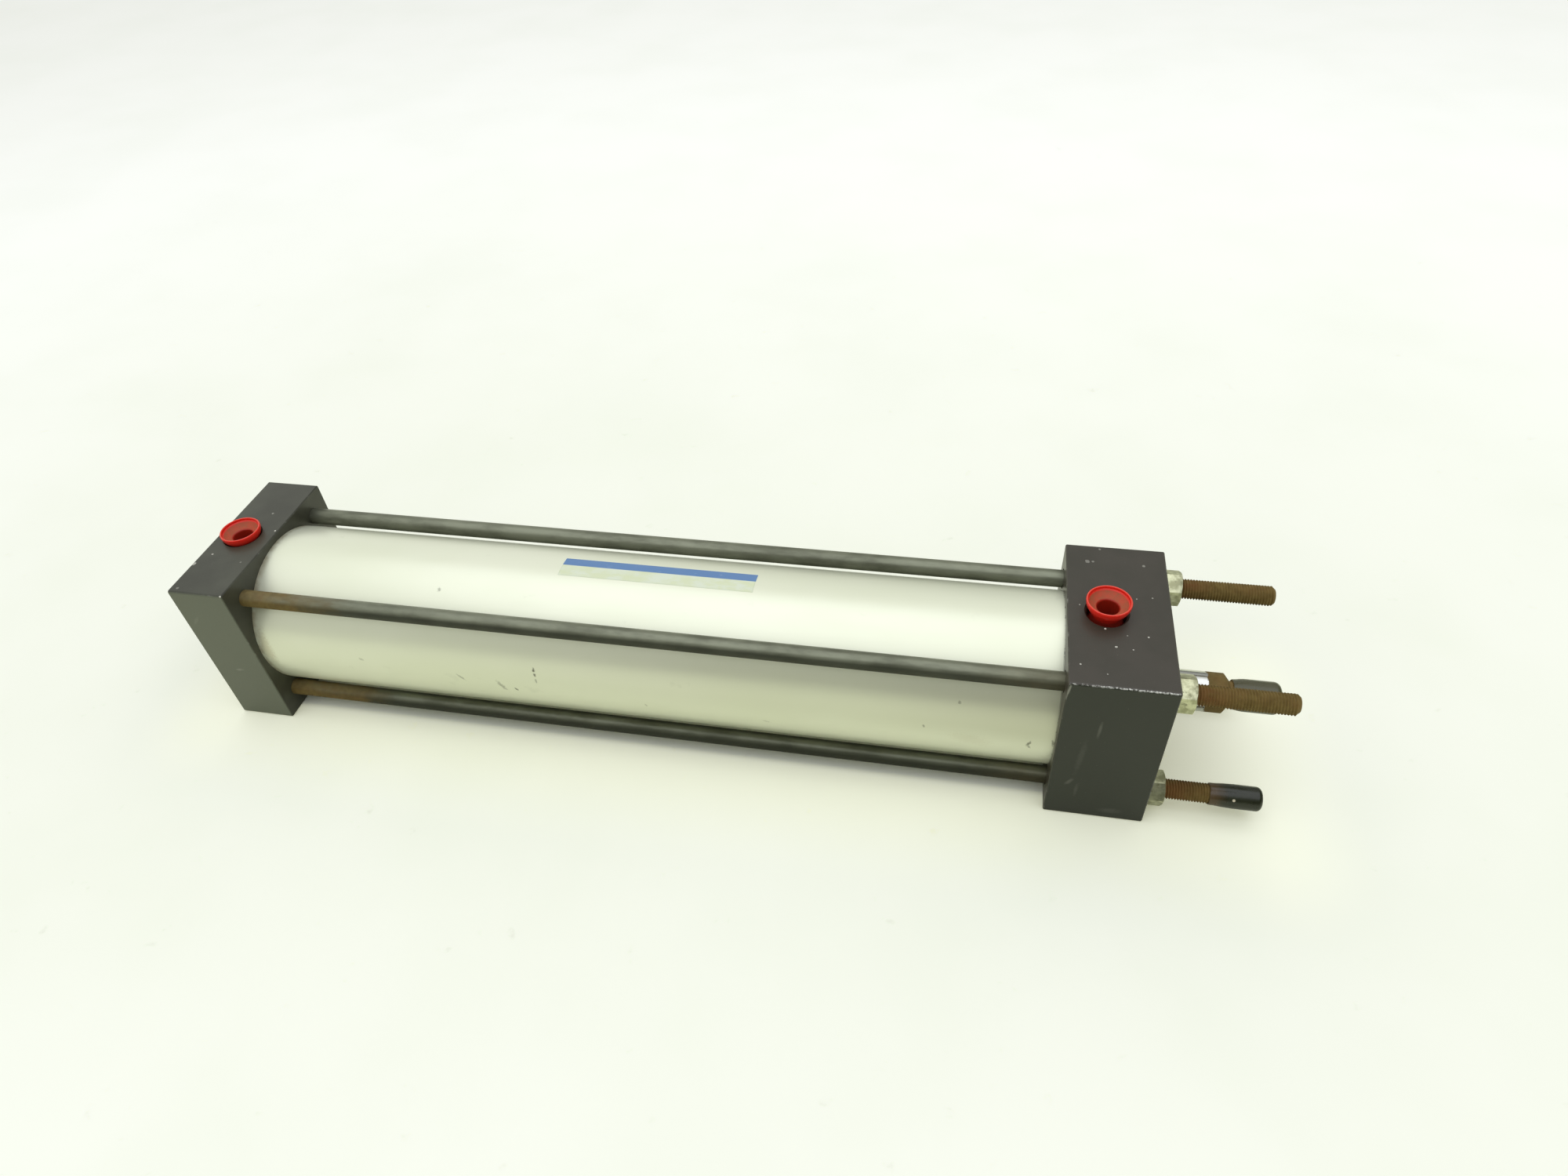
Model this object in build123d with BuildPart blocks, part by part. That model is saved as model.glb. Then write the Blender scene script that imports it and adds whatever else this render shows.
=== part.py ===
from build123d import *
from math import cos, radians
import os

# Pneumatic tie-rod cylinder, double acting, 2.5 in bore by 12 in stroke, in millimetres.
# The bore's axis is X and the rod comes out towards +X. The origin is on that axis, at the
# front head's outer face. +Z is up, through the two ports. The part lies on its two blocks.

# Blocks: the two square end pieces
block_side = 76.2
head_length = 38.1
cap_length = 25.4
corner_radius = 1.0
edge_break = 0.4

# Travel, and what shares the barrel's length with it
stroke = 304.8
piston_length = 20.4
pilot_length = 5.5
end_gap = 0.3

# Barrel
bore_radius = 31.75
barrel_wall = 3.175
barrel_deburr = 0.3

# Clearances: pieces that stay together, and pieces that run on each other
seat_clearance = 0.03
running_clearance = 0.05
pilot_clearance = 0.05
piston_clearance = 0.2
groove_clearance = 0.05

# Tie rods: the engaged thread is at its pitch diameter, and the free thread at its full diameter
tie_spacing = 55.88
tie_shank_radius = 3.6
tie_thread_radius = 3.97
tie_hole_radius = 4.17
tie_engagement = 16.0
tie_blind_depth = 19.0
stud_reach = 41.7
stud_chamfer = 0.9

# Tie-rod nuts
nut_across_flats = 12.7
nut_thickness = 6.75
nut_crown = 0.55

# Each tie rod's side along Y and Z, and the angle at which its nut stopped, from +Y towards +Z
tie_places = {
    "near_upper": (-1, 1, 28.0),
    "far_upper": (1, 1, 32.7),
    "near_lower": (-1, -1, 52.7),
    "far_lower": (1, -1, 40.0),
}
capped_stud = "near_lower"

# O-rings that seal the barrel on its pilots
o_ring_section = 1.3
o_ring_groove_width = 3.2

# Air passages and ports
cavity_radius = 15.0
head_cavity_depth = 18.1
cap_cavity_depth = 17.0
port_offset = 14.5
port_radius = 7.4
port_mouth_radius = 8.3
port_overrun = 2.0

# Piston rod: front end with shoulder, neck and thread, and two wrench flats
rod_radius = 7.9375
rod_reach = 27.3
rod_shoulder_length = 1.8
rod_shoulder_drop = 2.2
rod_neck_radius = 5.1
rod_neck_length = 1.6
rod_thread_radius = 5.556
rod_thread_length = 18.2
rod_thread_chamfer = 1.0
flat_across = 12.7
flat_length = 6.4
flat_angle = 122.0

# Piston rod: rear end, which carries the piston and its nut
spigot_radius = 6.35
spigot_thread_radius = 5.9
spigot_stub = 1.5
spigot_chamfer = 0.8
piston_nut_across_flats = 19.05
piston_nut_thickness = 8.0
piston_nut_crown = 0.8

# Piston, with a cup seal at each end and a wear band between them
piston_chamfer = 0.6
seal_land = 1.6
seal_groove_width = 4.4
seal_groove_depth = 4.9
band_land = 1.4
band_depth = 1.7
band_split = 1.5
static_ring_section = 0.9
static_groove_width = 2.2

# Cup seals: lip thickness, and depth of the notch between the two lips
cup_lip = 1.0
cup_notch = 2.2

# Gland in the front head: bushing, rod seal and wiper
bushing_radius = 11.11
bushing_length = 18.5
bushing_chamfer = 0.5
gland_bore_radius = 8.3
gland_land = 2.0
rod_seal_width = 4.5
rod_seal_radius = 11.3
wiper_depth = 4.0
wiper_radius = 11.5
wiper_recess = 0.2
wiper_bevel = 1.6

# Port plugs: flared plastic, the rear one pushed in further
plug_length = 14.0
plug_rim_radius = 8.35
plug_rim_height = 1.0
plug_rim_wall = 0.75
plug_flare_height = 5.0
plug_neck_radius = 7.2
plug_tip_radius = 6.6
plug_funnel_depth = 3.9
plug_hole_radius = 4.1
plug_floor = 1.5
front_plug_stands = 6.05
rear_plug_stands = 3.3

# Vinyl thread caps: stretched thin at the mouth, and wider towards a rounded end
cap_fit = 0.03
stud_cap_length = 19.4
stud_cap_end = 1.4
stud_cap_mouth_wall = 0.3
stud_cap_wall = 0.75
stud_cap_flare = 9.0
stud_cap_rounding = 1.9
rod_cap_length = 17.7
rod_cap_end = 1.2
rod_cap_mouth_wall = 0.3
rod_cap_wall = 0.85
rod_cap_flare = 4.5
rod_cap_rounding = 2.4

# Places along X
half_side = block_side / 2
head_inner = -head_length
head_pilot_end = head_inner - pilot_length
barrel_length = stroke + piston_length + 2 * pilot_length + 2 * end_gap
cap_inner = head_inner - barrel_length
cap_pilot_end = cap_inner + pilot_length
cap_outer = cap_inner - cap_length
piston_rear = cap_pilot_end + end_gap
piston_front = piston_rear + piston_length
piston_middle = (piston_rear + piston_front) / 2
head_port_x = head_inner + port_offset
cap_port_x = cap_inner - port_offset
bushing_front = -(wiper_depth + gland_land + rod_seal_width + gland_land)
rod_seal_rear = bushing_front + gland_land

# Radii and depths that follow from the fits
pilot_radius = bore_radius - pilot_clearance
barrel_radius = bore_radius + barrel_wall
o_ring_radius = bore_radius - seat_clearance - o_ring_section
o_ring_floor = o_ring_radius - o_ring_section - seat_clearance
piston_radius = bore_radius - piston_clearance
seal_floor = piston_radius - seal_groove_depth
band_floor = piston_radius - band_depth
piston_bore = spigot_radius + seat_clearance
static_floor = piston_bore + 2 * static_ring_section
port_depth = half_side - cavity_radius + port_overrun


def across_x(x):
    """The plane across the axis at this X: its own two directions are +Y and +Z."""
    return Plane.YZ.offset(x)


def turned(points, y=0, z=0):
    """A body turned about a line along X through (y, z), from its half section as (X, radius)."""
    with BuildPart() as body:
        with BuildSketch(Plane((0, y, z), x_dir=(1, 0, 0), z_dir=(0, -1, 0))):
            with BuildLine():
                Polyline(*points, close=True)
            make_face()
        revolve(axis=Axis((0, y, z), (1, 0, 0)))
    return body.part


def o_ring(x, radius, section):
    """A ring of round section centred at this X, with this radius to the middle of its section."""
    with BuildPart() as ring:
        with BuildSketch(Plane.XZ):
            with Locations((x, radius)):
                Circle(section)
        revolve(axis=Axis.X)
    return ring.part


def cup_seal(open_x, heel_x, inner, outer):
    """A lip seal: a ring with a V notch between its lips, open at open_x and flat at heel_x."""
    middle = (inner + outer) / 2
    notch_x = open_x + cup_notch * (1 if heel_x > open_x else -1)
    return turned(
        [
            (heel_x, inner),
            (open_x, inner),
            (open_x, inner + cup_lip),
            (notch_x, middle),
            (open_x, outer - cup_lip),
            (open_x, outer),
            (heel_x, outer),
        ]
    )


def hex_nut(x, y, z, across_flats, thickness, crown, bore, angle):
    """A hexagon nut with its rear face at this X and its corners turned down at both faces."""
    corner = across_flats / 2 / cos(radians(30))
    face_radius = corner - 2 * crown
    with BuildPart() as nut:
        with BuildSketch(across_x(x)):
            with Locations((y, z)):
                RegularPolygon(across_flats / 2, 6, major_radius=False, rotation=angle)
        extrude(amount=thickness)
        with BuildSketch(Plane((x, y, z), x_dir=(1, 0, 0), z_dir=(0, -1, 0))):
            with BuildLine():
                Polyline(
                    (0, bore),
                    (0, face_radius),
                    (crown, corner),
                    (thickness - crown, corner),
                    (thickness, face_radius),
                    (thickness, bore),
                    close=True,
                )
            make_face()
        revolve(axis=Axis((x, y, z), (1, 0, 0)), mode=Mode.INTERSECT)
    return nut.part


def thread_cap(mouth, tip, y, z, bore_end, bore, mouth_wall, wall, flare, rounding):
    """A dipped vinyl cap on a threaded end, from its mouth to its rounded tip."""
    with BuildPart() as cap:
        with BuildSketch(Plane((0, y, z), x_dir=(1, 0, 0), z_dir=(0, -1, 0))):
            with BuildLine():
                outline = Polyline(
                    (mouth, bore),
                    (mouth, bore + mouth_wall),
                    (mouth + flare, bore + wall),
                    (tip - rounding, bore + wall),
                )
                RadiusArc(outline @ 1, (tip, bore + wall - rounding), rounding)
                Polyline(
                    (tip, bore + wall - rounding),
                    (tip, 0),
                    (bore_end, 0),
                    (bore_end, bore),
                    (mouth, bore),
                )
            make_face()
        revolve(axis=Axis((0, y, z), (1, 0, 0)))
    return cap.part


def port_plug(x, stands):
    """A flared plug in the port at this X, with its rim this far above the block."""
    rim = half_side + stands
    tip = rim - plug_length
    with BuildPart() as plug:
        with BuildSketch(Plane((x, 0, 0), x_dir=(1, 0, 0), z_dir=(0, -1, 0))):
            with BuildLine():
                Polyline(
                    (0, tip),
                    (plug_tip_radius, tip),
                    (plug_neck_radius, rim - plug_flare_height),
                    (plug_rim_radius, rim - plug_rim_height),
                    (plug_rim_radius, rim),
                    (plug_rim_radius - plug_rim_wall, rim),
                    (plug_hole_radius, rim - plug_funnel_depth),
                    (plug_hole_radius, tip + plug_floor),
                    (0, tip + plug_floor),
                    close=True,
                )
            make_face()
        revolve(axis=Axis((x, 0, 0), (0, 0, 1)))
    return plug.part


def write(part, name):
    """Labels a finished piece and writes it to its own file."""
    part.label = name
    export_step(part, f"parts/{name}.step")


os.makedirs("parts", exist_ok=True)

# Rear cap: a square block with the barrel's pilot, blind tapped holes for the tie rods, and a port
with BuildPart() as rear_cap:
    with BuildSketch(across_x(cap_outer)):
        RectangleRounded(block_side, block_side, corner_radius)
    extrude(amount=cap_length)
    chamfer(rear_cap.faces().filter_by(Axis.X).edges(), edge_break)
    with BuildSketch(Plane.XZ):
        with BuildLine():
            Polyline(
                (cap_inner - pilot_length, 0),
                (cap_inner - pilot_length, pilot_radius),
                (cap_pilot_end - edge_break, pilot_radius),
                (cap_pilot_end, pilot_radius - edge_break),
                (cap_pilot_end, 0),
                close=True,
            )
        make_face()
    revolve(axis=Axis.X)
    with BuildSketch(across_x(cap_inner + (pilot_length - o_ring_groove_width) / 2)):
        Circle(pilot_radius)
        Circle(o_ring_floor, mode=Mode.SUBTRACT)
    extrude(amount=o_ring_groove_width, mode=Mode.SUBTRACT)
    with BuildSketch(across_x(cap_inner - cap_cavity_depth)):
        Circle(cavity_radius)
    extrude(amount=cap_cavity_depth + pilot_length, mode=Mode.SUBTRACT)
    with BuildSketch(across_x(cap_inner - tie_blind_depth)):
        with GridLocations(tie_spacing, tie_spacing, 2, 2):
            Circle(tie_shank_radius + seat_clearance)
    extrude(amount=tie_blind_depth, mode=Mode.SUBTRACT)
    with Locations((cap_port_x, 0, half_side)):
        CounterSinkHole(port_radius, port_mouth_radius, port_depth)
write(rear_cap.part, "rear_cap")

# Front head: a longer block with its pilot, through holes for the tie rods, a port and the gland
with BuildPart() as front_head:
    with BuildSketch(across_x(head_inner)):
        RectangleRounded(block_side, block_side, corner_radius)
    extrude(amount=head_length)
    chamfer(front_head.faces().filter_by(Axis.X).edges(), edge_break)
    with BuildSketch(Plane.XZ):
        with BuildLine():
            Polyline(
                (head_inner + pilot_length, 0),
                (head_inner + pilot_length, pilot_radius),
                (head_pilot_end + edge_break, pilot_radius),
                (head_pilot_end, pilot_radius - edge_break),
                (head_pilot_end, 0),
                close=True,
            )
        make_face()
    revolve(axis=Axis.X)
    with BuildSketch(across_x(head_inner - (pilot_length + o_ring_groove_width) / 2)):
        Circle(pilot_radius)
        Circle(o_ring_floor, mode=Mode.SUBTRACT)
    extrude(amount=o_ring_groove_width, mode=Mode.SUBTRACT)
    with BuildSketch(Plane.XZ):
        with BuildLine():
            Polyline(
                (head_pilot_end, 0),
                (head_pilot_end, cavity_radius),
                (head_inner + head_cavity_depth, cavity_radius),
                (head_inner + head_cavity_depth, bushing_radius + seat_clearance),
                (bushing_front, bushing_radius + seat_clearance),
                (bushing_front, gland_bore_radius),
                (rod_seal_rear, gland_bore_radius),
                (rod_seal_rear, rod_seal_radius),
                (rod_seal_rear + rod_seal_width, rod_seal_radius),
                (rod_seal_rear + rod_seal_width, gland_bore_radius),
                (-wiper_depth, gland_bore_radius),
                (-wiper_depth, wiper_radius),
                (0, wiper_radius),
                (0, 0),
                close=True,
            )
        make_face()
    revolve(axis=Axis.X, mode=Mode.SUBTRACT)
    with BuildSketch(across_x(head_inner)):
        with GridLocations(tie_spacing, tie_spacing, 2, 2):
            Circle(tie_hole_radius)
    extrude(amount=head_length, mode=Mode.SUBTRACT)
    with Locations((head_port_x, 0, half_side)):
        CounterSinkHole(port_radius, port_mouth_radius, port_depth)
write(front_head.part, "front_head")

# Barrel: a drawn tube clamped between the two blocks, deburred inside both ends
with BuildPart() as barrel:
    with BuildSketch(across_x(cap_inner)):
        Circle(barrel_radius)
        Circle(bore_radius, mode=Mode.SUBTRACT)
    extrude(amount=barrel_length)
    chamfer(barrel.faces().filter_by(GeomType.CYLINDER).sort_by(SortBy.AREA)[0].edges(), barrel_deburr)
write(barrel.part, "barrel")
write(o_ring(cap_inner + pilot_length / 2, o_ring_radius, o_ring_section), "barrel_seal_rear")
write(o_ring(head_inner - pilot_length / 2, o_ring_radius, o_ring_section), "barrel_seal_front")

# Tie rods and their nuts: screwed blind into the rear cap, through the head, and out as studs
for place, (side_y, side_z, nut_angle) in tie_places.items():
    tie_y = side_y * tie_spacing / 2
    tie_z = side_z * tie_spacing / 2
    with BuildPart() as tie_rod:
        with BuildSketch(across_x(cap_inner - tie_engagement)):
            with Locations((tie_y, tie_z)):
                Circle(tie_shank_radius)
        extrude(amount=tie_engagement + barrel_length + head_length + nut_thickness)
        with BuildSketch(across_x(nut_thickness)):
            with Locations((tie_y, tie_z)):
                Circle(tie_thread_radius)
        extrude(amount=stud_reach - nut_thickness)
        chamfer(tie_rod.faces().sort_by(Axis.X)[-1].edges(), stud_chamfer)
        chamfer(tie_rod.faces().sort_by(Axis.X)[0].edges(), stud_chamfer)
    write(tie_rod.part, f"tie_rod_{place}")
    nut = hex_nut(
        0,
        tie_y,
        tie_z,
        nut_across_flats,
        nut_thickness,
        nut_crown,
        tie_shank_radius + seat_clearance,
        nut_angle,
    )
    write(nut, f"tie_rod_nut_{place}")

# Gland: bronze bushing, rod seal and wiper
bushing = turned(
    [
        (bushing_front - bushing_length, rod_radius + running_clearance + bushing_chamfer),
        (bushing_front - bushing_length, bushing_radius),
        (bushing_front, bushing_radius),
        (bushing_front, rod_radius + running_clearance + bushing_chamfer),
        (bushing_front - bushing_chamfer, rod_radius + running_clearance),
        (bushing_front - bushing_length + bushing_chamfer, rod_radius + running_clearance),
    ]
)
write(bushing, "rod_bushing")
rod_seal = cup_seal(
    rod_seal_rear + groove_clearance,
    rod_seal_rear + rod_seal_width - groove_clearance,
    rod_radius + running_clearance,
    rod_seal_radius - seat_clearance,
)
write(rod_seal, "rod_seal")
wiper = turned(
    [
        (seat_clearance - wiper_depth, rod_radius + running_clearance + wiper_bevel),
        (seat_clearance - wiper_depth, wiper_radius - seat_clearance),
        (-wiper_recess, wiper_radius - seat_clearance),
        (-wiper_recess, rod_radius + running_clearance),
    ]
)
write(wiper, "rod_wiper")

# Piston rod: threaded spigot, ground shaft, chamfered shoulder, neck and thread
rod_tip = rod_reach + rod_thread_length
rod_thread_start = rod_reach + rod_neck_length
rod_rear = piston_rear - piston_nut_thickness - spigot_stub
with BuildPart() as piston_rod:
    with BuildSketch(Plane.XZ):
        with BuildLine():
            Polyline(
                (rod_rear, 0),
                (rod_rear, spigot_thread_radius - spigot_chamfer),
                (rod_rear + spigot_chamfer, spigot_thread_radius),
                (piston_rear, spigot_thread_radius),
                (piston_rear, spigot_radius),
                (piston_front, spigot_radius),
                (piston_front, rod_radius),
                (rod_reach - rod_shoulder_length, rod_radius),
                (rod_reach, rod_radius - rod_shoulder_drop),
                (rod_reach, rod_neck_radius),
                (rod_thread_start, rod_neck_radius),
                (rod_thread_start, rod_thread_radius),
                (rod_tip - rod_thread_chamfer, rod_thread_radius),
                (rod_tip, rod_thread_radius - rod_thread_chamfer),
                (rod_tip, 0),
                close=True,
            )
        make_face()
    revolve(axis=Axis.X)
    with BuildSketch(across_x(rod_reach - rod_shoulder_length - flat_length)):
        with PolarLocations((flat_across + rod_radius) / 2, 2, start_angle=flat_angle):
            Rectangle(rod_radius, 2 * rod_radius)
    extrude(amount=flat_length + rod_shoulder_length, mode=Mode.SUBTRACT)
write(piston_rod.part, "piston_rod")

# Piston: turned from bar, with two seal grooves, a wear band groove and a static seal in its bore
band_width = piston_length - 2 * (seal_land + seal_groove_width + band_land)
rear_groove = piston_rear + seal_land
band_groove = rear_groove + seal_groove_width + band_land
front_groove = band_groove + band_width + band_land
with BuildPart() as piston:
    with BuildSketch(across_x(piston_rear)):
        Circle(piston_radius)
    extrude(amount=piston_length)
    chamfer(piston.edges().filter_by(GeomType.CIRCLE), piston_chamfer)
    for groove_start, groove_width, groove_floor in (
        (rear_groove, seal_groove_width, seal_floor),
        (band_groove, band_width, band_floor),
        (front_groove, seal_groove_width, seal_floor),
    ):
        with BuildSketch(across_x(groove_start)):
            Circle(piston_radius)
            Circle(groove_floor, mode=Mode.SUBTRACT)
        extrude(amount=groove_width, mode=Mode.SUBTRACT)
    with BuildSketch(across_x(piston_rear)):
        Circle(piston_bore)
    extrude(amount=piston_length, mode=Mode.SUBTRACT)
    with BuildSketch(across_x(piston_middle - static_groove_width / 2)):
        Circle(static_floor)
    extrude(amount=static_groove_width, mode=Mode.SUBTRACT)
write(piston.part, "piston")
write(
    o_ring(piston_middle, piston_bore + static_ring_section, static_ring_section - seat_clearance / 2),
    "piston_static_seal",
)
piston_nut = hex_nut(
    piston_rear - piston_nut_thickness,
    0,
    0,
    piston_nut_across_flats,
    piston_nut_thickness,
    piston_nut_crown,
    spigot_thread_radius + seat_clearance,
    0,
)
write(piston_nut, "piston_nut")

# Piston seals and wear band: they run on the barrel's bore
seal_inner = seal_floor + running_clearance
seal_outer = bore_radius - running_clearance
rear_seal = cup_seal(
    rear_groove + groove_clearance,
    rear_groove + seal_groove_width - groove_clearance,
    seal_inner,
    seal_outer,
)
write(rear_seal, "piston_seal_rear")
front_seal = cup_seal(
    front_groove + seal_groove_width - groove_clearance,
    front_groove + groove_clearance,
    seal_inner,
    seal_outer,
)
write(front_seal, "piston_seal_front")
with BuildPart() as wear_band:
    with BuildSketch(across_x(band_groove + groove_clearance)):
        Circle(bore_radius - running_clearance)
        Circle(band_floor + running_clearance, mode=Mode.SUBTRACT)
        with Locations((0, bore_radius)):
            Rectangle(band_split, 2 * (bore_radius - band_floor), mode=Mode.SUBTRACT)
    extrude(amount=band_width - 2 * groove_clearance)
write(wear_band.part, "piston_wear_band")

# Port plugs and thread caps
write(port_plug(cap_port_x, rear_plug_stands), "port_plug_rear")
write(port_plug(head_port_x, front_plug_stands), "port_plug_front")
capped_y, capped_z, _ = tie_places[capped_stud]
stud_cap_tip = stud_reach + stud_cap_end
stud_cap = thread_cap(
    stud_cap_tip - stud_cap_length,
    stud_cap_tip,
    capped_y * tie_spacing / 2,
    capped_z * tie_spacing / 2,
    stud_reach + cap_fit,
    tie_thread_radius + cap_fit,
    stud_cap_mouth_wall,
    stud_cap_wall,
    stud_cap_flare,
    stud_cap_rounding,
)
write(stud_cap, "stud_cap")
rod_cap_tip = rod_tip + rod_cap_end
rod_cap = thread_cap(
    rod_cap_tip - rod_cap_length,
    rod_cap_tip,
    0,
    0,
    rod_tip + cap_fit,
    rod_thread_radius + cap_fit,
    rod_cap_mouth_wall,
    rod_cap_wall,
    rod_cap_flare,
    rod_cap_rounding,
)
write(rod_cap, "rod_thread_cap")
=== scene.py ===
# %% [markdown]
# The object is a pneumatic cylinder that lies on its two square black blocks. Between the blocks runs a
# pale anodised tube, clamped by four long tie rods. The rods come out of the front block as rusty threaded
# studs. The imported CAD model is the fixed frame: each of its pieces already stands where it belongs, in
# metres. A new piece is therefore made at its place, and only its form and finish are decided here.

# %% Load the frame
import math
import bpy
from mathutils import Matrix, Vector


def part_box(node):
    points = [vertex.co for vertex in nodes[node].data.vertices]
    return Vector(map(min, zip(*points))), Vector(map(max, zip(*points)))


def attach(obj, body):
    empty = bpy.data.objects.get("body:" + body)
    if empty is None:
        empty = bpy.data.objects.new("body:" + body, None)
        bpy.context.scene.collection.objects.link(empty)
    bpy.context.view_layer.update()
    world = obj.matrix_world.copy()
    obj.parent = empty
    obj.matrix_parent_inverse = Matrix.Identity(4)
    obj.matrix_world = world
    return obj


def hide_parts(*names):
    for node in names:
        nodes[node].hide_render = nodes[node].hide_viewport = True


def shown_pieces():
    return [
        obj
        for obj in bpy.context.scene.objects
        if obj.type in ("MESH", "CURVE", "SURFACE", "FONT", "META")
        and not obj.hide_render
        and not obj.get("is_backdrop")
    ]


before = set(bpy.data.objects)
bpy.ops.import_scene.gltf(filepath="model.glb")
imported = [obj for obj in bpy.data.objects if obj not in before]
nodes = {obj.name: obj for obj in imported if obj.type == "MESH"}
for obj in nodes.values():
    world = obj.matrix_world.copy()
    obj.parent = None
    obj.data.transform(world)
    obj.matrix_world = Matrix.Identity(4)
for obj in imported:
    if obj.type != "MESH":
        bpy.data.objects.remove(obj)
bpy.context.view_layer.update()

# %% [markdown]
# A camera has to stand where the photographer stood, or no shape can be compared. Its place and turn were
# worked out from the corners of the two blocks, whose real size is known. The lens is a wide one, held
# close, which is why the near block looks so much larger than the far one.

# %% Camera
MM = 0.001
camera_place = (-0.07755, -0.28201, 0.30374)
camera_turn = (47.187, 3.201, 10.896)
camera_data = bpy.data.cameras.new("camera")
camera_data.sensor_width = 36.0
camera_data.lens = 22.807
camera_data.clip_start = 0.01
camera = bpy.data.objects.new("camera", camera_data)
camera.location = camera_place
camera.rotation_euler = [math.radians(angle) for angle in camera_turn]
bpy.context.scene.collection.objects.link(camera)
bpy.context.scene.camera = camera
print("camera height above the part's axis:", camera_place[2], "m")

# %% [markdown]
# A material here is a small program of nodes. Writing each node by hand hides the thought behind the
# wiring, so one class wraps a socket and lets plain arithmetic build the Math nodes, and `1 - mask` reads
# as it would on paper. A second class adds any node to a tree. A third is one finish: its shader, and the
# masks that more than one material needs. Object coordinates are turned into millimetres once, so every
# scale below is a real size on the part.

# %% Shader arithmetic
NOISE_ROUGHNESS = 0.55


class Value:
    """A number that varies over a surface. Arithmetic on it adds Math nodes."""

    def __init__(self, wiring, socket):
        self.wiring = wiring
        self.socket = socket

    def math(self, operation, *others):
        inputs = dict(enumerate((self, *others)))
        return self.wiring.node("ShaderNodeMath", {"operation": operation}, inputs)

    def __add__(self, other):
        return self.math("ADD", other)

    def __radd__(self, other):
        return self.math("ADD", other)

    def __sub__(self, other):
        return self.math("SUBTRACT", other)

    def __rsub__(self, other):
        return (self * -1).math("ADD", other)

    def __mul__(self, other):
        return self.math("MULTIPLY", other)

    def __rmul__(self, other):
        return self.math("MULTIPLY", other)

    def __abs__(self):
        return self.math("ABSOLUTE")

    def between(self, low, high):
        """0 up to low, 1 from high on, and smooth between them. With low above high it falls instead."""
        if low > high:
            return 1 - self.between(high, low)
        settings = {"interpolation_type": "SMOOTHSTEP"}
        inputs = {"Value": self, "From Min": low, "From Max": high}
        return self.wiring.node("ShaderNodeMapRange", settings, inputs)


class Wiring:
    """A tree of shader nodes, and one method that adds any node to it."""

    def __init__(self, tree):
        self.tree = tree

    def node(self, kind, settings, inputs, output=0):
        """Adds a node: first its settings, then the values or links of its sockets."""
        made = self.tree.nodes.new(kind)
        for name, value in settings.items():
            setattr(made, name, value)
        for name, value in inputs.items():
            if isinstance(value, Value):
                self.tree.links.new(value.socket, made.inputs[name])
            else:
                made.inputs[name].default_value = value
        return Value(self, made.outputs[output])


class Finish(Wiring):
    """One material, with the nodes that vary it over the surface, in millimetres of the part's frame."""

    def __init__(self, name, constants):
        self.material = bpy.data.materials.new(name)
        self.material.use_nodes = True
        super().__init__(self.material.node_tree)
        self.shader = self.tree.nodes["Principled BSDF"]
        for socket, value in constants.items():
            self.shader.inputs[socket].default_value = value
        inputs = {0: self.node("ShaderNodeTexCoord", {}, {}, "Object"), "Scale": 1 / MM}
        self.place = self.node("ShaderNodeVectorMath", {"operation": "SCALE"}, inputs)
        self.x, self.y, self.z = (
            self.node("ShaderNodeSeparateXYZ", {}, {0: self.place}, output) for output in range(3)
        )

    def noise(self, size, stretch=(1, 1, 1), detail=4, shift=0.0):
        """Cloudy noise with spots of about this size in millimetres, drawn out along an axis by stretch."""
        squeeze = [1 / length for length in stretch]
        mapping = {"Vector": self.place, "Location": (shift,) * 3, "Scale": squeeze}
        place = self.node("ShaderNodeMapping", {}, mapping)
        inputs = {"Vector": place, "Scale": 1 / size, "Detail": detail, "Roughness": NOISE_ROUGHNESS}
        return self.node("ShaderNodeTexNoise", {}, inputs)

    def mix(self, mask, low, high):
        """The low colour where the mask is 0, and the high colour where it is 1."""
        inputs = {0: mask, 6: low, 7: high}
        return self.node("ShaderNodeMix", {"data_type": "RGBA"}, inputs, 2)

    def near(self, point, radius, soft, wobble=None):
        """1 within this distance of a point in millimetres, fading over soft. Wobble bends the outline."""
        ends = {0: self.place, 1: point}
        distance = self.node("ShaderNodeVectorMath", {"operation": "DISTANCE"}, ends, "Value")
        if wobble is not None:
            distance = distance + wobble
        return distance.between(radius + soft, radius)

    def stroke(self, surface, place, slant, length, width, wobble):
        """1 inside a slanted mark of this size, on a surface that is measured as it lies flat."""
        turned = (0, 0, math.radians(slant))
        spread = (length / 2, width / 2, 1)
        mapping = {"Vector": surface, "Location": (*place, 0), "Rotation": turned, "Scale": spread}
        flat = self.node("ShaderNodeMapping", {"vector_type": "TEXTURE"}, mapping)
        distance = self.node("ShaderNodeVectorMath", {"operation": "LENGTH"}, {0: flat}, "Value")
        return (distance + wobble).between(1.5, 0.3)

    def angle_round(self):
        """The angle round the part's axis in radians, from 0 on top, growing towards the viewer."""
        return (self.y * -1).math("ARCTAN2", self.z)

    def bump(self, height, depth):
        """Feeds a height from 0 to 1 into the shader's normal, as this depth in millimetres."""
        inputs = {"Height": height, "Distance": depth * MM, "Strength": 1.0}
        self.feed("Normal", self.node("ShaderNodeBump", {}, inputs))

    def feed(self, socket, value):
        """Links a value or a colour to one socket of the shader."""
        self.tree.links.new(value.socket, self.shader.inputs[socket])


def colour(red, green, blue):
    """A colour as seen on a screen, 0 to 255 for each part, as the linear light that a shader takes."""
    linear = []
    for part in (red, green, blue):
        share = part / 255
        linear.append(share / 12.92 if share <= 0.04045 else ((share + 0.055) / 1.055) ** 2.4)
    return linear + [1.0]


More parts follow.
